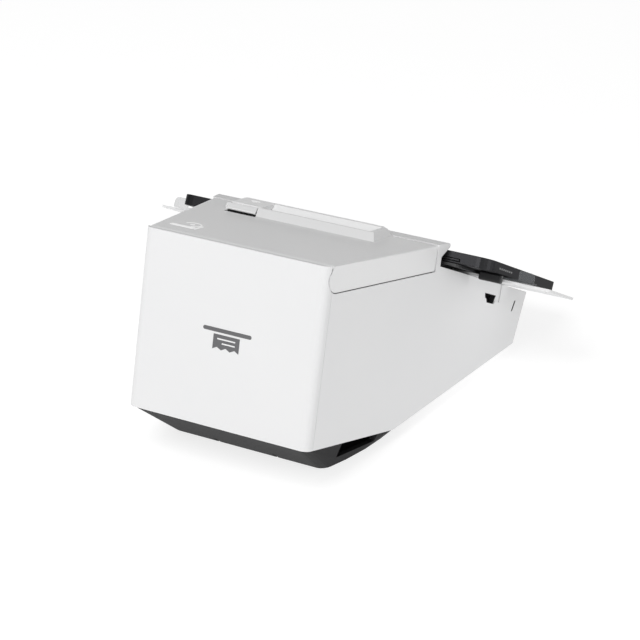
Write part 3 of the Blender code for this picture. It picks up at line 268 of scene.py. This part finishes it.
def dress_nodes():
    """Give each CAD node its material, and soften its moulded edges."""
    for material, names in FINISH.items():
        for name in names:
            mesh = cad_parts[name].data
            mesh.materials.clear()
            mesh.materials.append(material)
    for name, width in SOFT_EDGES.items():
        soften(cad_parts[name], width)


def soften(obj, width):
    """Weld the mesh, clear flat faces of their cuts, and round its sharp edges."""
    weld = obj.modifiers.new("weld", "WELD")
    weld.merge_threshold = 0.01 * MM
    flat = obj.modifiers.new("flat", "DECIMATE")
    flat.decimate_type = "DISSOLVE"
    flat.angle_limit = math.radians(0.5)
    bevel = obj.modifiers.new("bevel", "BEVEL")
    bevel.width = width * MM
    bevel.segments = 3
    bevel.limit_method = "ANGLE"
    bevel.angle_limit = math.radians(34.0)
    bevel.use_clamp_overlap = True
    bevel.harden_normals = True


dress_nodes()


# ---------------------------------------------------------------- drawing systems and shapes

def system(origin, lean):
    """Matrix of a drawing system; lean is in degrees about X."""
    return Matrix.Translation(origin) @ Matrix.Rotation(math.radians(lean), 4, "X")


BODY = system(BODY_ORIGIN, BODY_LEAN)
SLOPE = system(SLOPE_ORIGIN, SLOPE_LEAN)
LEVEL = system(LEVEL_ORIGIN, 0.0)
# Faces seen square on: (across, along, outward) for the rear panel and for the underside
REAR_FACE = BODY @ Matrix.Rotation(math.radians(-90.0), 4, "X")
UNDERSIDE = LEVEL @ Matrix.Rotation(math.radians(180.0), 4, "Y")
# Top of the roll cover
COVER_FACE = BODY @ Matrix.Translation((0.0, 0.0, -COVER_DROP * MM))
# Side walls seen square on: (down, forward, towards the left end)
SIDE_WALL = BODY @ Matrix.Rotation(math.radians(90.0), 4, "Y")


class Shape:
    """Mesh drawn in (across, forward, up) millimetres, finished as one piece on a body."""

    def __init__(self):
        self.bm = bmesh.new()

    def vert(self, across, forward, up):
        """New vertex."""
        return self.bm.verts.new((across * MM, -forward * MM, up * MM))

    def slab(self, outline, low, high):
        """Outline of (across, forward) points raised from low to high."""
        rings = [[self.vert(x, f, up) for x, f in outline] for up in (low, high)]
        self.bm.faces.new(rings[0])
        self.bm.faces.new(rings[1])
        self.bridge(*rings)
        return self

    def turned(self, centre, profile, sides=28):
        """Solid of revolution about the up axis; profile is (radius, up) from one pole to the other."""
        rings = []
        for radius, up in profile:
            if radius == 0.0:
                rings.append([self.vert(centre[0], centre[1], up)])
            else:
                rings.append([self.vert(x, f, up) for x, f in circle(centre, radius, sides)])
        for low, high in zip(rings, rings[1:]):
            self.bridge(low, high)
        return self

    def bridge(self, low, high):
        """Faces between two rings; either may be a single pole."""
        count = max(len(low), len(high))
        for i in range(count):
            j = (i + 1) % count
            corners = [low[i % len(low)], low[j % len(low)], high[j % len(high)], high[i % len(high)]]
            self.bm.faces.new(list(dict.fromkeys(corners)))

    def box(self, x0, x1, f0, f1, u0, u1):
        """Box between two corners."""
        return self.slab([(x0, f0), (x1, f0), (x1, f1), (x0, f1)], u0, u1)

    def soft(self, radius):
        """Round every edge sharper than 40 degrees."""
        sharp = [edge for edge in self.bm.edges if edge.calc_face_angle(0.0) > math.radians(40.0)]
        bmesh.ops.bevel(self.bm, geom=sharp, offset=radius * MM, segments=2, affect="EDGES",
                        profile=0.5, clamp_overlap=True)
        return self

    def piece(self, name, place, material, body, slot):
        """Make the object, place it, and let it ride on a CAD body."""
        bmesh.ops.recalc_face_normals(self.bm, faces=self.bm.faces)
        mesh = bpy.data.meshes.new(name)
        self.bm.to_mesh(mesh)
        self.bm.free()
        mesh.transform(place)
        mesh.materials.append(material)
        mesh.shade_smooth()
        mesh.set_sharp_from_angle(angle=math.radians(35.0))
        obj = bpy.data.objects.new(name, mesh)
        bpy.context.scene.collection.objects.link(obj)
        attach(obj, body)
        return obj


def circle(centre, radius, sides, start=0.0, end=360.0):
    """Points on a circle or an arc."""
    full = end - start >= 360.0
    points = []
    for i in range(sides if full else sides + 1):
        angle = math.radians(start + (end - start) * i / sides)
        points.append((centre[0] + radius * math.cos(angle), centre[1] + radius * math.sin(angle)))
    return points


def rounded(x0, x1, f0, f1, radius):
    """Rectangle outline with round corners."""
    points = []
    corners = ((x1 - radius, f1 - radius, 0), (x0 + radius, f1 - radius, 90),
               (x0 + radius, f0 + radius, 180), (x1 - radius, f0 + radius, 270))
    for x, f, start in corners:
        points += circle((x, f), radius, 4, start, start + 90)
    return points


def frame_outline(shape, x0, x1, f0, f1, width, low, high):
    """Thin rectangular frame built from four mitred bars."""
    outer = [(x0, f0), (x1, f0), (x1, f1), (x0, f1)]
    inner = [(x0 + width, f0 + width), (x1 - width, f0 + width), (x1 - width, f1 - width),
             (x0 + width, f1 - width)]
    rings = []
    for ring, up in ((outer, low), (outer, high), (inner, high), (inner, low)):
        rings.append([shape.vert(x, f, up) for x, f in ring])
    for first, second in zip(rings, rings[1:] + rings[:1]):
        shape.bridge(first, second)
    return shape


def screw(name, place, x, f, radius, low):
    """Pan head screw with a cross recess, fixed to the chassis."""
    top = low + 1.25
    shape = Shape()
    shape.turned((x, f), ((0.0, low), (radius, low), (radius, low + 0.6), (radius * 0.86, low + 1.0),
                          (radius * 0.6, top - 0.05), (0.0, top)))
    head = shape.piece(name, Matrix.Identity(4), STEEL, "chassis", "steel")
    arm = radius * 0.62
    half = 0.28
    deep = top - 0.8
    clear = top + 1.0
    cutter = Shape()
    cutter.box(x - arm, x + arm, f - half, f + half, deep, clear)
    # The second bar is a trifle higher, so that no two faces of the cutter share a plane
    cutter.box(x - half, x + half, f - arm, f + arm, deep + 0.01, clear + 0.01)
    bmesh.ops.recalc_face_normals(cutter.bm, faces=cutter.bm.faces)
    mesh = bpy.data.meshes.new("cross")
    cutter.bm.to_mesh(mesh)
    cutter.bm.free()
    cross = bpy.data.objects.new("cross", mesh)
    bpy.context.scene.collection.objects.link(cross)
    modifier = head.modifiers.new("cross", "BOOLEAN")
    modifier.operation = "DIFFERENCE"
    modifier.solver = "EXACT"
    modifier.use_self = True
    modifier.object = cross
    bpy.context.view_layer.update()
    cutout = bpy.data.meshes.new_from_object(head.evaluated_get(bpy.context.evaluated_depsgraph_get()))
    head.modifiers.clear()
    head.data = cutout
    head.data.transform(place)
    head.data.set_sharp_from_angle(angle=math.radians(35.0))
    bpy.data.objects.remove(cross)


def four_screws(name, place, across, forwards, radius, low):
    """Numbered screws near both sides, at two places forward."""
    corners = [(x, f) for f in forwards for x in (-across, across)]
    for number, (x, f) in enumerate(corners, 1):
        screw("%s_%d" % (name, number), place, x, f, radius, low)


# ---------------------------------------------------------------- printed marks

def make_slip_mark():
    """Pictogram on the rear panel: a slip with two lines and a torn edge, under a wide bar."""
    slip = Shape()
    slip.slab(rounded(-18.5, 16.5, -57.2, -54.6, 1.2), 0.0, DARK_PRINT)
    right = -10.5
    left = 8.5
    top = -58.6
    bottom = -68.6
    notch = -66.9
    teeth = 6
    paper = [(right, top), (left, top), (left, bottom)]
    for step in range(1, teeth):
        paper.append((left - (left - right) * step / teeth, notch if step % 2 else bottom))
    paper.append((right, bottom))
    slip.slab(paper, 0.0, DARK_PRINT)
    slip.piece("rear_pictogram", REAR_FACE, INK, "chassis", "black_plastic")
    lines = Shape()
    half = 0.45
    for up, reach in ((-61.4, 5.5), (-64.2, 2.0)):
        lines.box(-7.5, reach, up + half, up - half, DARK_PRINT, DARK_PRINT + 0.05)
    lines.piece("rear_pictogram_lines", REAR_FACE, SHADED_WHITE, "chassis", "white_plastic")


def make_roll_mark():
    """Pictogram on the cover: a paper roll in its holder."""
    roll = Shape()
    centre = (50.0, 33.5)
    outer = circle(centre, 6.4, 24, 20.0, 250.0)
    inner = circle(centre, 5.5, 24, 20.0, 250.0)
    roll.slab(outer + inner[::-1], 0.0, PALE_PRINT)
    roll.slab(circle(centre, 1.6, 16), 0.0, PALE_PRINT)
    roll.box(44.0, 61.0, 26.6, 22.4, 0.0, PALE_PRINT)
    roll.box(41.8, 43.0, 34.0, 22.4, 0.0, PALE_PRINT)
    roll.piece("cover_pictogram", COVER_FACE, GLOWING_PRINT_INK, "cover", "white_plastic")


def make_lever_mark():
    """Pictogram on the exit block: a bar, and a triangle that points at the open lever."""
    arrow = Shape()
    low = EXIT_TOP
    high = EXIT_TOP + PALE_PRINT
    arrow.box(47.0, 53.5, 121.0, 122.6, low, high)
    arrow.slab([(48.2, 119.4), (52.3, 119.4), (50.2, 117.6)], low, high)
    arrow.piece("lever_pictogram", BODY, GLOWING_PRINT_INK, "chassis", "white_plastic")


# ---------------------------------------------------------------- details of the stand and tablet

def make_stand_details():
    """Camera, speaker slots and port of the tablet."""
    camera = Shape()
    camera.turned((0.0, 13.6), ((0.0, GLASS_TOP), (1.5, GLASS_TOP), (1.5, GLASS_TOP + 0.06),
                                (1.1, GLASS_TOP + 0.06), (0.9, GLASS_TOP + 0.02), (0.0, GLASS_TOP + 0.05)))
    camera.piece("tablet_camera", SLOPE, LENS_BLUE, "stand", "lens")
    for end, side in ENDS:
        grille = Shape()
        edge = TABLET_HALF_LENGTH * side
        x0, x1 = sorted((edge, edge + 0.06 * side))
        for step in range(7):
            f = 30.0 + 4.2 * step
            grille.box(x0, x1, f, f + 3.0, 7.6, 8.8)
        grille.piece("tablet_grille_" + end, SLOPE, GLASS, "stand", "glass_black")
    port = Shape()
    port.box(-6.0, 6.0, 9.55, 9.65, 7.4, 9.8)
    port.piece("tablet_port", SLOPE, GLASS, "stand", "glass_black")


# ---------------------------------------------------------------- painted shade in holes and gaps

def half_width(f):
    """Half of the body's width at a BODY forward place; the sides flare towards the operator."""
    return REAR_HALF_WIDTH + FLARE * f


def scaled(outline, factor):
    """Outline drawn nearer to its middle."""
    middle = [sum(point[axis] for point in outline) / len(outline) for axis in (0, 1)]
    return [tuple(middle[axis] + factor * (point[axis] - middle[axis]) for axis in (0, 1))
            for point in outline]


def side_ring(name, outer, inner, near, far):
    """Black ring of painted shade between two (down, forward) outlines, near to far below the surface of
    both sides.
    """
    for end, side in ENDS:
        shape = Shape()
        rings = []
        for ring, depth in ((outer, near), (outer, far), (inner, far), (inner, near)):
            rings.append([shape.vert(down, f, side * (half_width(f) - depth)) for down, f in ring])
        for first, second in zip(rings, rings[1:] + rings[:1]):
            shape.bridge(first, second)
        shape.piece("%s_%s" % (name, end), SIDE_WALL, BLACK, "chassis", "black_plastic")


def make_hole_shade():
    """Black rings just inside the latch hole and the slot of both sides, as painted shade that darkens the
    holes.
    """
    latch = [(42.4, 197.6), (46.8, 214.0), (52.6, 211.0), (49.8, 200.5)]
    slot = [(54.0, 240.2), (54.0, 242.0), (61.6, 239.0), (61.6, 237.2)]
    side_ring("latch_painted_shade", scaled(latch, 0.985), scaled(latch, 0.93), 0.85, 4.0)
    side_ring("slot_painted_shade", scaled(slot, 0.97), scaled(slot, 0.80), 0.05, 3.0)


def make_flange_shade():
    """Flat black strips of painted shade on the ledges under the cover's flanges, round the rear corners of
    the flanges.
    """
    strip_end = 124.0
    edges = []
    # Lower side of the strip just off the ledge, and its upper side
    for radius in (LEDGE_RADIUS - 0.02, LEDGE_RADIUS - 0.18):
        corner = circle(FLANGE_CENTRE, radius, 10, 270.0, 175.0)
        edges.append([(strip_end, FLANGE_CENTRE[1] - radius)] + corner)
    near = 0.8
    far = 2.3
    for end, side in ENDS:
        shade_strip = Shape()
        sections = []
        for low, high in zip(*edges):
            sections.append([shade_strip.vert(-up, f, side * (half_width(f) - depth))
                             for (f, up), depth in ((low, near), (low, far), (high, far), (high, near))])
        for first, second in zip(sections, sections[1:]):
            shade_strip.bridge(first, second)
        shade_strip.bm.faces.new(sections[0])
        shade_strip.bm.faces.new(sections[-1])
        shade_strip.piece("cover_flange_shade_" + end, SIDE_WALL, BLACK, "chassis", "black_plastic")


def make_lever_pocket_shade():
    """Low black wall across the pocket under the tip of the open lever, as painted shade in the pocket."""
    wall = Shape()
    wall.box(37.6, 59.6, 98.6, 99.2, -2.9, -0.35)
    wall.piece("lever_pocket_painted_shade", BODY, BLACK, "cover", "black_plastic")


# ---------------------------------------------------------------- sockets and board

def make_socket_details():
    """Contacts, tongues and pins inside the sockets."""
    floor = BOARD_TOP + 5.4
    contacts = Shape()
    # Network, drawer and wide USB socket: contacts, first place, pitch, width, forward from and to, height
    for count, first, pitch, width, f0, f1, height in ((8, 40.4, 1.25, 0.5, 53.6, 58.5, 7.6),
                                                       (6, -27.6, 1.25, 0.5, 54.6, 58.5, 6.6),
                                                       (4, 16.2, 2.1, 1.0, 59.6, 60.1, 7.1)):
        for step in range(count):
            x = first + pitch * step
            contacts.box(x, x + width, f0, f1, floor + 0.1, floor + height)
    contacts.piece("socket_contacts", SLOPE, GOLD, "chassis", "steel")
    tongues = Shape()
    tongues.box(15.0, 25.2, 60.1, 61.5, floor, floor + 8.0)
    tongues.box(-4.2, 2.2, 58.4, 62.0, floor, floor + 8.6)
    tongues.soft(0.25).piece("socket_tongues", SLOPE, BLACK, "chassis", "black_plastic")
    pins = Shape()
    tip = floor + 8.4
    for centre in ((-49.0, 58.4), (-43.0, 58.4), (-46.0, 62.4)):
        pins.turned(centre, ((0.0, floor), (0.8, floor), (0.8, tip - 0.8), (0.5, tip), (0.0, tip)), 16)
    pins.piece("power_pins", SLOPE, STEEL, "chassis", "steel")


def make_chips():
    """Black chips on the main board, and the legs around the largest one."""
    processor = (-8.0, 84.0, 18.0, 18.0, 1.6)
    chips = Shape()
    for x, f, width, depth, height in (processor, (22.0, 82.0, 11.0, 8.0, 1.4), (22.0, 94.0, 8.0, 5.0, 1.2),
                                       (-36.0, 80.0, 9.0, 9.0, 2.6), (46.0, 86.0, 7.0, 7.0, 1.2),
                                       (48.0, 38.0, 14.0, 6.0, 1.4), (-20.0, 38.0, 22.0, 5.0, 5.0)):
        chips.box(x - width / 2, x + width / 2, f - depth / 2, f + depth / 2,
                  BOARD_TOP + 0.15, BOARD_TOP + height)
    chips.soft(0.2).piece("board_chips", SLOPE, BLACK, "chassis", "black_plastic")
    legs = Shape()
    x, f, width = processor[:3]
    low = BOARD_TOP + 0.1
    high = BOARD_TOP + 0.4
    half = 0.2
    for side in (-1, 1):
        near, far = sorted((side * width / 2, side * (width / 2 + 1.4)))
        for step in range(16):
            at = -7.2 + 0.96 * step
            legs.box(x + near, x + far, f + at - half, f + at + half, low, high)
            legs.box(x + at - half, x + at + half, f + near, f + far, low, high)
    legs.piece("board_chip_legs", SLOPE, STEEL, "chassis", "steel")


def make_capacitors():
    """Round capacitors with a groove near the foot, on the main board."""
    cans = Shape()
    low = BOARD_TOP + 0.1
    for x, f, radius, height in ((-52.0, 82.0, 4.0, 9.0), (-52.0, 93.0, 4.0, 9.0), (54.0, 72.0, 3.2, 7.0),
                                 (-36.0, 94.0, 2.6, 6.0)):
        top = BOARD_TOP + height
        cans.turned((x, f), ((0.0, low), (radius, low), (radius, BOARD_TOP + 1.2),
                             (radius - 0.3, BOARD_TOP + 1.6), (radius, BOARD_TOP + 2.0),
                             (radius, top - 0.4), (radius - 0.4, top), (0.0, top)), 24)
    cans.piece("board_capacitors", SLOPE, ALUMINIUM, "chassis", "aluminium")


# ---------------------------------------------------------------- underside

def make_label():
    """Blank rating plate with a thin border, under the base."""
    low = -BASE_CLEARANCE
    high = low + 0.1
    label = Shape()
    label.slab(rounded(-24.0, 24.0, 96.0, 124.0, 1.5), low, high)
    label.piece("blank_label", UNDERSIDE, GLOWING_PRINT_INK, "chassis", "white_plastic")
    border = frame_outline(Shape(), -22.0, 22.0, 98.0, 122.0, 0.4, high, high + 0.04)
    border.piece("blank_label_border", UNDERSIDE, INK, "chassis", "black_plastic")


make_slip_mark()
make_roll_mark()
make_lever_mark()
make_stand_details()
make_hole_shade()
make_flange_shade()
make_lever_pocket_shade()
make_socket_details()
make_chips()
make_capacitors()
four_screws("board_screw", SLOPE, 60.0, (32.0, 98.0), 2.6, BOARD_TOP + 0.05)
make_label()
four_screws("base_screw", UNDERSIDE, 40.0, (60.0, 180.0), 3.0, -BASE_CLEARANCE - 0.6)


# ---------------------------------------------------------------- studio and camera

def make_floor():
    """Plain pale floor, larger than the view."""
    mesh = bpy.data.meshes.new("floor")
    bm = bmesh.new()
    bmesh.ops.create_grid(bm, x_segments=1, y_segments=1, size=6.0)
    bm.to_mesh(mesh)
    bm.free()
    floor = bpy.data.objects.new("floor", mesh)
    bpy.context.scene.collection.objects.link(floor)
    mesh.materials.append(moulded("floor_paint", (0.35, 0.35, 0.35), (0.345, 0.345, 0.345), 0.6, 2.0, 0.02,
                                  specular=0.1, glow=0.78))


def make_lights():
    """Soft studio light: a surround brighter on the customer's side, two large panels and a small one."""
    world = bpy.data.worlds.new("studio")
    world.use_nodes = True
    nodes = world.node_tree.nodes
    links = world.node_tree.links
    direction = nodes.new("ShaderNodeTexCoord")
    axes = nodes.new("ShaderNodeSeparateXYZ")
    strength = add(nodes, "MapRange", {"From Min": -1.0, "From Max": 1.0, "To Min": 0.20, "To Max": 0.55})
    links.new(direction.outputs["Generated"], axes.inputs["Vector"])
    links.new(axes.outputs["Y"], strength.inputs["Value"])
    links.new(strength.outputs["Result"], nodes["Background"].inputs["Strength"])
    nodes["Background"].inputs["Color"].default_value = (1.0, 1.0, 1.0, 1.0)
    bpy.context.scene.world = world
    target = Vector((0.0, 0.0, 0.08))
    # Place and width in metres, power in watts
    for name, place, size, power in (("key", (0.15, 1.35, 1.75), 0.9, 24.0),
                                     ("side", (-2.0, 0.1, 0.5), 1.0, 4.6),
                                     ("strip", (-1.55, 0.85, 1.1), 0.3, 1.5)):
        data = bpy.data.lights.new(name, "AREA")
        data.size = size
        data.energy = power
        lamp = bpy.data.objects.new(name, data)
        bpy.context.scene.collection.objects.link(lamp)
        lamp.location = place
        lamp.rotation_mode = "QUATERNION"
        lamp.rotation_quaternion = (target - Vector(place)).to_track_quat("-Z", "Y")


def make_camera():
    """Long lens over the customer's right shoulder, and colours shown without a film look."""
    azimuth = math.radians(AZIMUTH)
    elevation = math.radians(ELEVATION)
    back = Vector((math.sin(azimuth) * math.cos(elevation), -math.cos(azimuth) * math.cos(elevation),
                   math.sin(elevation)))
    data = bpy.data.cameras.new("camera")
    data.lens = LENS
    data.sensor_width = 36.0
    camera = bpy.data.objects.new("camera", data)
    bpy.context.scene.collection.objects.link(camera)
    look = (-back).to_track_quat("-Z", "Y").to_matrix().to_4x4()
    tilt = Matrix.Rotation(math.radians(ROLL), 4, "Z")
    camera.matrix_world = Matrix.Translation(Vector(AIM) + back * DISTANCE) @ (look @ tilt)
    bpy.context.scene.camera = camera
    bpy.context.scene.view_settings.view_transform = "Standard"


make_floor()
make_lights()
make_camera()
